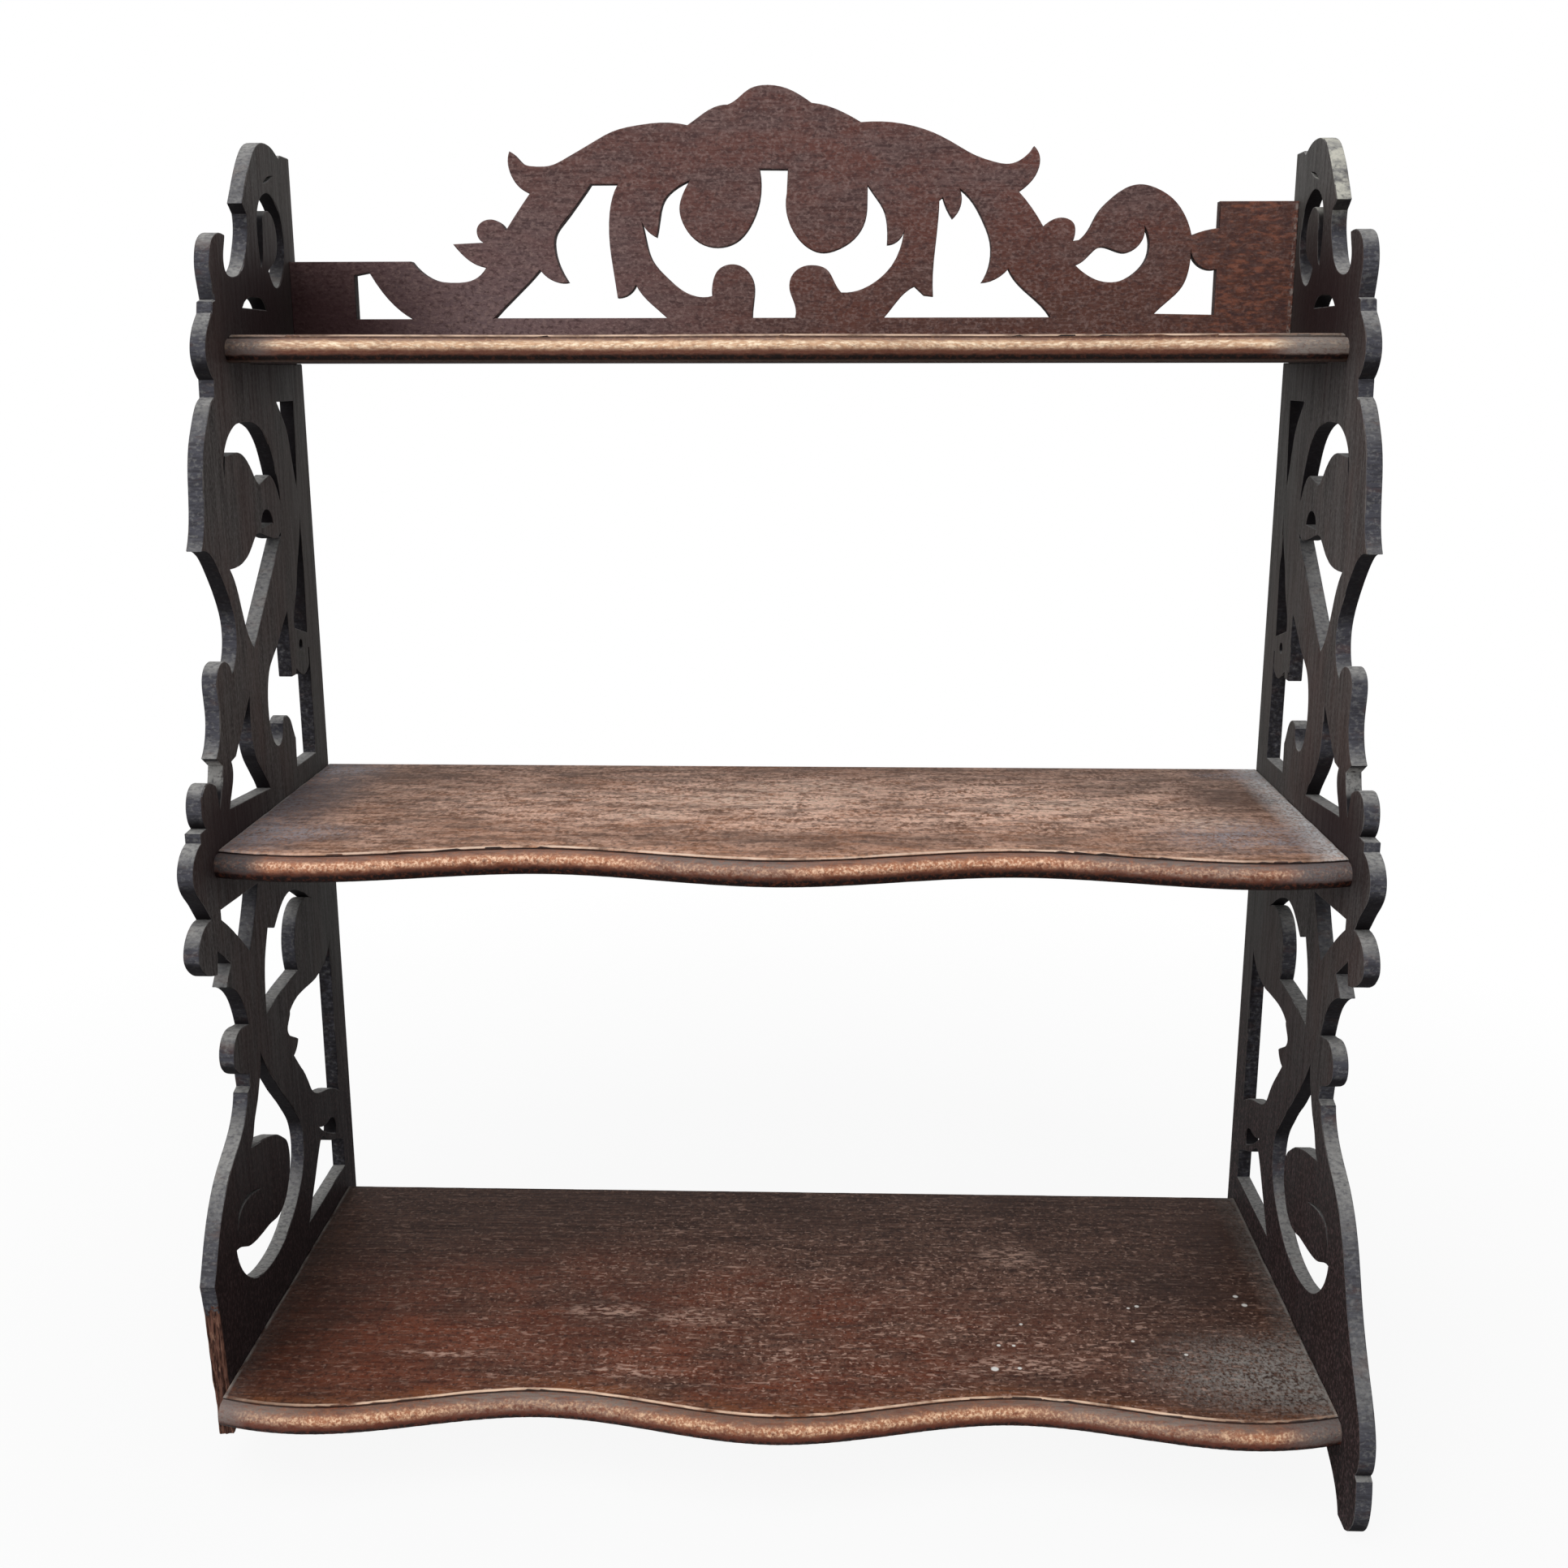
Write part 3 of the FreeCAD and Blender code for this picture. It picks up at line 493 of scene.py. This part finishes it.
def shelfTopWood(node, look, frontY, topZ):
    material, tree = newMaterial("worn_walnut_" + node)
    x, y, _ = axes(tree)
    pattern, share = grains(tree, "X", shelfTop["grain"]), shelfTop["share"]
    angle = add(tree, "Math", {0: x, 1: 2 * pi / (shelfTop["waveLength"] * mm)}, operation="MULTIPLY")
    wave = add(tree, "Math", {0: angle}, operation="COSINE")
    wave = add(tree, "Math", {0: wave, 1: shelfTop["wave"] * mm, 2: y}, operation="MULTIPLY_ADD")
    edge = frontY + (shelfTop["reach"] + shelfTop["lap"]) * mm
    behind = add(tree, "Math", {0: wave, 1: edge}, operation="SUBTRACT")  # behind the front edge
    front = add(tree, "MapRange", {0: behind, 1: shelfTop["band"] * mm, 2: 0.0}, interpolation_type="SMOOTHSTEP")

    def on(mark, kind):  # cover of a marked place
        markX, markY, reachX, reachY = mark
        return zone(tree, (markX, markY, topZ / mm), (reachX, reachY, shelfTop["skin"]), shelfTop["core"][kind])

    lines = grain(tree, "X", shelfTop["lineLength"], look["lines"], *shelfTop["lineCover"])
    patchy = add(tree, "MapRange", {0: pattern["patchy"], 3: shelfTop["patchy"], 4: 1.0})
    worn = add(tree, "MapRange", {0: on(look["worn"], "worn"), 3: shelfTop["outerWear"], 4: 1.0})
    worn = add(tree, "Math", {0: worn, 1: patchy}, operation="MULTIPLY")
    colour = over(tree, look["deep"], look["body"], lines)
    colour = over(tree, colour, look["warm"], on(look["warmth"], "warmth"), pattern["warm"], share["warm"])
    # darker towards the back: painted shade
    start, full = shelfTop["shadedBackY"]
    back = add(tree, "MapRange", {0: y, 1: start * mm, 2: full * mm, 4: look["back"]})
    colour = over(tree, colour, look["deep"], back)
    colour = over(tree, colour, look["handled"], front, pattern["handled"], share["handled"])
    colour = over(tree, colour, look["deep"], pattern["dark"], share["dark"])
    paleShare, darkShare = look["patches"]
    colour = over(tree, colour, look["pale"], pattern["palePatch"], worn, paleShare * look["wear"])
    paleFleck, darkFleck = (grain(tree, "X", *look["fleck"], *shelfTop[name]) for name in ("paleFleck", "darkFleck"))
    colour = over(tree, colour, look["pale"], paleFleck, worn, look["wear"])
    colour = over(tree, colour, look["deep"], darkFleck, share["darkFleck"])
    colour = over(tree, colour, look["deep"], pattern["darkPatch"], darkShare)
    for kind, start in zip(("dash", "dot"), look["marks"]):
        size, rise, drawn = shelfTop[kind]
        marks = grain(tree, "X", *size, start, start + rise, *drawn)
        colour = over(tree, colour, look["scratch"], marks, worn, look["scratches"])
    for stain in look["stains"]:
        colour = over(tree, colour, look["deep"], on(stain, "stain"), pattern["stain"], share["stain"])
    for scuff in look["scuffs"]:
        colour = over(tree, colour, look["scratch"], on(scuff, "scuff"), pattern["scuff"], share["scuff"])
    powder = add(tree, "MapRange", {0: pattern["speckle"], 3: shelfTop["thinDust"], 4: 1.0})
    for end in ("left", "right"):
        start, full, endShare = look[end]
        reach = add(tree, "MapRange", {0: x, 1: start * mm, 2: full * mm, 4: endShare})
        colour = over(tree, colour, look[end + "Dust"], reach, powder)
    for haze in look["haze"]:
        colour = over(tree, colour, look["hazeDust"], on(haze, "haze"), pattern["speckle"], pattern["haze"],
                      share["haze"])
    aside = add(tree, "Math", {0: x}, operation="ABSOLUTE")
    start, full = shelfTop["jointX"]
    joint = add(tree, "MapRange", {0: aside, 1: start * mm, 2: full * mm})
    jointDust = grain(tree, "Y", *shelfTop["jointGrain"])
    colour = over(tree, colour, shelfTop["jointDust"], joint, jointDust, share["joint"])
    # the pale arris line: rubbed wear and a painted highlight
    start, full = shelfTop["arrisRubAndHighlight"]
    rubAndHighlight = add(tree, "Attribute", attribute_name="arris").outputs["Fac"]
    rubAndHighlight = add(tree, "MapRange", {0: rubAndHighlight, 1: start, 2: full})
    start, full = shelfTop["arrisFront"]
    atFront = add(tree, "MapRange", {0: behind, 1: start * mm, 2: full * mm})
    start, full = shelfTop["arrisEnds"]
    least, most = shelfTop["arrisShare"]
    inwards = add(tree, "MapRange", {0: aside, 1: start * mm, 2: full * mm, 3: least, 4: most})
    colour = over(tree, colour, look["arris"], rubAndHighlight, atFront, pattern["arris"], inwards)
    for spotX, spotY, radius in look["paint"]:  # drops of white paint
        drop = zone(tree, (spotX, spotY, topZ / mm), (radius, radius, radius), shelfTop["core"]["paint"])
        colour = over(tree, colour, shelfTop["paint"], drop)
    dry, smooth = shelfTop["roughness"]
    woodShader(tree, colour, lines, shelfTop["depth"], add(tree, "MapRange", {0: lines, 3: dry, 4: smooth}))
    return material


# The moulded front edge: grey brown and flecked on its shoulder, rubbed to bare golden wood on the bead with a painted
# highlight along its crown, dull in places (x and reach in mm), painted shade in the step, red brown where the bead
# turns under (partly stain, partly painted shade) and then black painted shade, a painted line along the lower edge,
# dark at the ends (from and to in mm). Bead and dark are mm below the shelf top.
nosingLooks = {
    "top_shelf": {
        "shoulder": "#8b6e60", "gold": "#cda17e", "highlight": "#ffe8ca", "red": "#5f3324", "deep": "#160b09",
        "dust": "#7d5847", "paintedLip": "#4d3d35", "leftEnd": (-246, -266, "#5c524f"), "rightEnd": (236, 256, "#857c76"),
        "fleck": (4.0, 1.1), "wander": 0.6, "rust": 0.4, "bead": (2.6, 4.6, 5.6, 8.8), "dark": (9.4, 11.0),
        "dirtAndShade": 0.5, "kept": 0.72, "dull": [(170, 75)]},
    "middle_shelf": {
        "shoulder": "#8b6d60", "gold": "#ab6a48", "highlight": "#fad0b0", "red": "#5f301f", "deep": "#190b09",
        "dust": "#7d706a", "paintedLip": "#190b09", "leftEnd": (-250, -264, "#454243"), "rightEnd": (238, 260, "#676161"),
        "fleck": (1.5, 1.5), "wander": 1.0, "rust": 0.75, "bead": (2.4, 4.8, 5.8, 9.0), "dark": (8.2, 10.8),
        "dirtAndShade": 0.9, "kept": 0.3, "dull": [(-30, 60), (196, 70)]},
    "bottom_shelf": {
        "shoulder": "#7f675b", "gold": "#a36240", "highlight": "#fbd2ae", "red": "#6a3424", "deep": "#1c0c09",
        "dust": "#85776f", "paintedLip": "#1c0c09", "leftEnd": (-262, -276, "#7d706b"), "rightEnd": (244, 268, "#746c69"),
        "fleck": (1.5, 1.5), "wander": 1.0, "rust": 0.75, "bead": (2.2, 4.6, 5.6, 9.0), "dark": (8.8, 11.4),
        "dirtAndShade": 0.8, "kept": 0.3, "dull": [(-118, 82), (180, 75), (-278, 52)]},
}
nosing = {
    "grain": {"patch": (40, 30, 0.3, 0.5, 4.2), "wander": (6, 4, 0.3, 0.7, 7.7), "red": (12, 2.0, 0.4, 0.7, 5.1),
              "gold": (2.2, 1.6, 0.5, 0.68, 2.3), "rust": (2.2, 2.2, 0.48, 0.66, 9.4),
              "dusty": (2.0, 1.6, 0.3, 0.6, 6.3), "endRed": (1.8, 1.2, 0.5, 0.66, 3.8)},
    "fleckCover": (0.42, 0.66, 0.6, 8.0),
    "share": {"red": 0.6, "gold": 0.5, "redAndShade": 0.85, "paintedGlint": 0.2, "endRed": 0.4, "paintedLip": 0.9},
    "patch": (0.5, 0.95), "specks": (0.1, 1.15), "dusty": (0.75, 1.0),  # least and most
    "inStep": (0.6, 1.0), "aboveStep": (1.98, 1.9), "paintedLip": (12.2, 12.9),  # from and full, in mm below the shelf top
    "dullY": -200, "dullCore": 0.4, "roughness": (0.6, 0.45), "gloss": 0.2, "depth": 0.25,
}


def nosingWood(node, look, topZ):
    material, tree = newMaterial("bare_walnut_bead_" + node)
    x, _, z = axes(tree)
    pattern, share = grains(tree, "X", nosing["grain"]), nosing["share"]
    drop = add(tree, "Math", {0: topZ, 1: z}, operation="SUBTRACT")  # below the shelf top
    fleck = grain(tree, "X", *look["fleck"], *nosing["fleckCover"])
    wavy = add(tree, "Math", {0: pattern["wander"], 1: look["wander"] * mm, 2: drop}, operation="MULTIPLY_ADD")
    start, full, fading, gone = (v * mm for v in look["bead"])
    rise = add(tree, "MapRange", {0: wavy, 1: start, 2: full}, interpolation_type="SMOOTHSTEP")
    fall = add(tree, "MapRange", {0: wavy, 1: gone, 2: fading}, interpolation_type="SMOOTHSTEP")
    bead = add(tree, "Math", {0: rise, 1: fall}, operation="MULTIPLY")
    dull = 0.0
    for middle, reach in look["dull"]:
        here = zone(tree, (middle, nosing["dullY"], 0), (reach, anywhere, anywhere), nosing["dullCore"])
        dull = add(tree, "Math", {0: dull, 1: here}, operation="MAXIMUM")
    bare = add(tree, "MapRange", {0: dull, 3: 1.0, 4: look["kept"]})
    bare = add(tree, "Math", {0: bead, 1: bare}, operation="MULTIPLY")
    colour = over(tree, look["shoulder"], look["dust"], dull)
    colour = over(tree, colour, look["red"], pattern["red"], share["red"])
    colour = over(tree, colour, look["gold"], pattern["gold"], share["gold"])
    # below the crown: red brown (partly stain, partly painted shade), then black painted shade
    redAndShade = add(tree, "MapRange", {0: wavy, 1: fading, 2: gone}, interpolation_type="SMOOTHSTEP")
    darkFrom, darkTo = look["dark"]
    paintedShadeBelow = add(tree, "MapRange", {0: wavy, 1: darkFrom * mm, 2: darkTo * mm}, interpolation_type="SMOOTHSTEP")
    colour = over(tree, colour, look["red"], redAndShade, share["redAndShade"])
    colour = over(tree, colour, look["deep"], paintedShadeBelow)
    least, most = nosing["patch"]
    patch = add(tree, "MapRange", {0: pattern["patch"], 3: least, 4: most})
    least, most = nosing["specks"]
    specks = add(tree, "MapRange", {0: fleck, 3: least, 4: most})
    colour = over(tree, colour, look["gold"], bare, patch)
    # a painted highlight along the bead's crown on the worn wood, with painted glints
    colour = over(tree, colour, look["highlight"], bare, bead, specks, patch)
    colour = over(tree, colour, look["highlight"], bead, fleck, share["paintedGlint"])
    lower = add(tree, "MapRange", {0: wavy, 1: full, 2: fading})
    colour = over(tree, colour, look["red"], lower, pattern["rust"], look["rust"])
    lit = add(tree, "Math", {0: 1.0, 1: paintedShadeBelow}, operation="SUBTRACT")
    least, most = nosing["dusty"]
    dusty = add(tree, "MapRange", {0: pattern["dusty"], 3: least, 4: most})
    for endFrom, endTo, tone in (look["leftEnd"], look["rightEnd"]):
        end = add(tree, "MapRange", {0: x, 1: endFrom * mm, 2: endTo * mm}, interpolation_type="SMOOTHSTEP")
        colour = over(tree, colour, tone, end, dusty, lit)
        colour = over(tree, colour, look["red"], end, pattern["endRed"], lit, share["endRed"])
    within = {}
    for name in ("inStep", "aboveStep", "paintedLip"):
        start, full = nosing[name]
        within[name] = add(tree, "MapRange", {0: drop, 1: start * mm, 2: full * mm})
    # dark in the step: painted shade
    colour = over(tree, colour, look["deep"], within["inStep"], within["aboveStep"], look["dirtAndShade"])
    # the lowest strip: dark painted shade on the middle and bottom shelves, a lighter painted band of light on the top
    # shelf
    colour = over(tree, colour, look["paintedLip"], within["paintedLip"], share["paintedLip"])
    dry, smooth = nosing["roughness"]
    woodShader(tree, colour, fleck, nosing["depth"], add(tree, "MapRange", {0: fleck, 3: dry, 4: smooth}),
               nosing["gloss"])
    return material


# Shelf undersides and back edges, walnut stained dark and left rough: level grain, dull and even.
underLook = {
    "body": "#4b4240", "deep": "#2f2826", "red": "#4a322d", "redShare": 0.4, "poreShare": 0.5, "roughness": 0.75,
    "depth": 0.2,
    "grain": {"streak": (60, 2.4, 0.34, 0.62), "pores": (12, 1.2, 0.5, 0.66, 3.1), "red": (120, 45, 0.4, 0.62, 7.7)},
}


def underWood(look):
    material, tree = newMaterial("stained_walnut_rough_underside")
    pattern = grains(tree, "X", look["grain"])
    colour = over(tree, look["deep"], look["body"], pattern["streak"])
    colour = over(tree, colour, look["red"], pattern["red"], look["redShare"])
    colour = over(tree, colour, look["deep"], pattern["pores"], look["poreShare"])
    woodShader(tree, colour, pattern["pores"], look["depth"], look["roughness"])
    return material


roughWood = underWood(underLook)
shelfFaces = {"up": 0.2, "topDepth": 1.0, "down": -0.9, "back": 0.3}  # how a face is turned, and mm below the top
for node, look in shelfLooks.items():
    bm = boardFrom(node)
    low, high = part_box(node)
    frontY, topZ = float(low[1]), float(high[2])
    easeRims(bm, 2, topZ / mm, shelfTop["arris"])
    for face in bm.faces:
        height = face.calc_center_median().z
        top = face.normal.z > shelfFaces["up"] and height > topZ - shelfFaces["topDepth"] * mm
        under = face.normal.z < shelfFaces["down"] or face.normal.y > shelfFaces["back"]
        face.material_index = 0 if top else 2 if under else 1
    finishPiece(bm, node + "_board", node,
                [shelfTopWood(node, look, frontY, topZ), nosingWood(node, nosingLooks[node], topZ), roughWood])


# Mild steel screws, blackened and dull: grey with brown spots of rust.
steelLook = {"body": "#6d675f", "rust": "#4b3527", "spots": (1.5, 1.5, 0.42, 0.62), "roughness": (0.4, 0.7)}


def dulledSteel(look):
    material, tree = newMaterial("mild_steel_dulled")
    spots = grain(tree, "X", *look["spots"])
    colour = over(tree, look["body"], look["rust"], spots)
    smooth, rusty = look["roughness"]
    roughness = add(tree, "MapRange", {0: spots, 3: smooth, 4: rusty})
    shader = add(tree, "BsdfPrincipled", {"Base Color": colour, "Metallic": 1.0, "Roughness": roughness})
    add(tree, "OutputMaterial", {0: shader})
    return material


steel = dulledSteel(steelLook)
for node in ("side_screws", "crest_screws"):
    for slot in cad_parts[node].material_slots:
        slot.material = steel
print("screws:", steel.name)

# Floor, light and camera
stageLook = {"floor": "#c9c9c9", "dome": 0.4, "shadow": 0.08, "middle": (0, -0.1, -0.314), "fade": (0.35, 0.9),
             "size": 6.0}  # metres
lamps = {  # place, size in metres, watts
    "skyLamp": ((-0.5, -0.9, 2.2), 2.4, 40.0),
    "frontLamp": ((-1.3, -2.2, 0.9), 1.8, 18.0),
}
shot = {"at": (27.604, -998.712, 240.484), "pitch": 0.2401, "yaw": 0.03039, "roll": -0.00092,  # mm and radians
        "focal": 2094.18, "width": 1932, "sensor": 36.0}  # pixels, pixels and mm

floorMaterial, tree = newMaterial("pale_matt_floor")
light = add(tree, "LightPath")
matt = add(tree, "BsdfDiffuse", {"Color": linear(stageLook["floor"])})
white = add(tree, "Emission", {"Color": (1, 1, 1, 1), "Strength": 1.0})
place = add(tree, "TexCoord").outputs["Object"]
away = add(tree, "VectorMath", {0: place, 1: stageLook["middle"]}, operation="DISTANCE").outputs["Value"]
near, far = stageLook["fade"]
seen = add(tree, "MapRange", {0: away, 1: near, 2: far, 3: 1 - stageLook["shadow"], 4: 1.0})  # the shadow is only near
seen = add(tree, "Math", {0: light.outputs["Is Camera Ray"], 1: seen}, operation="MULTIPLY")
mixed = add(tree, "MixShader", {0: seen, 1: matt, 2: white})
add(tree, "OutputMaterial", {0: mixed})
bm = bmesh.new()
bmesh.ops.create_grid(bm, x_segments=1, y_segments=1, size=stageLook["size"])
bmesh.ops.translate(bm, verts=bm.verts, vec=(0, 0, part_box("right_side")[0][2]))
floorMesh = bpy.data.meshes.new("floor")
bm.to_mesh(floorMesh)
bm.free()
floorMesh.materials.append(floorMaterial)
floor = bpy.data.objects.new("floor", floorMesh)
bpy.context.collection.objects.link(floor)

world = bpy.data.worlds.new("studio")
bpy.context.scene.world = world
world.use_nodes = True
tree = world.node_tree
tree.nodes.clear()
light = add(tree, "LightPath")
shown = add(tree, "Math", {0: light.outputs["Is Camera Ray"], 1: light.outputs["Is Glossy Ray"]}, operation="MAXIMUM")
shown = add(tree, "Math", {0: shown, 1: light.outputs["Is Transmission Ray"]}, operation="MAXIMUM")
strength = add(tree, "MapRange", {0: shown, 3: stageLook["dome"], 4: 1.0})
sky = add(tree, "Background", {0: (1, 1, 1, 1), 1: strength})
add(tree, "OutputWorld", {0: sky})

for name, (place, size, watts) in lamps.items():
    lamp = bpy.data.lights.new(name, "AREA")
    lamp.size = size
    lamp.energy = watts
    lampObject = bpy.data.objects.new(name, lamp)
    lampObject.location = place
    lampObject.rotation_euler = (-Vector(place)).to_track_quat("-Z", "Y").to_euler()
    bpy.context.collection.objects.link(lampObject)

yaw, pitch, roll = shot["yaw"], shot["pitch"], shot["roll"]
sideways = Vector((cos(yaw), sin(yaw), 0))
forward = Vector((-sin(yaw) * cos(pitch), cos(yaw) * cos(pitch), -sin(pitch)))
upward = Vector((-sin(yaw) * sin(pitch), cos(yaw) * sin(pitch), cos(pitch)))
right = sideways * cos(roll) + upward * sin(roll)
up = upward * cos(roll) - sideways * sin(roll)
turn = Matrix((right, up, -forward)).transposed()
camera = bpy.data.cameras.new("photoCamera")
camera.sensor_width = shot["sensor"]
camera.lens = shot["focal"] * shot["sensor"] / shot["width"]
cameraObject = bpy.data.objects.new("photoCamera", camera)
cameraObject.matrix_world = Matrix.Translation(Vector(shot["at"]) * mm) @ turn.to_4x4()
bpy.context.collection.objects.link(cameraObject)
bpy.context.scene.camera = cameraObject
bpy.context.scene.view_settings.view_transform = "Standard"
print("stage: floor,", len(lamps), "lamps and the camera")
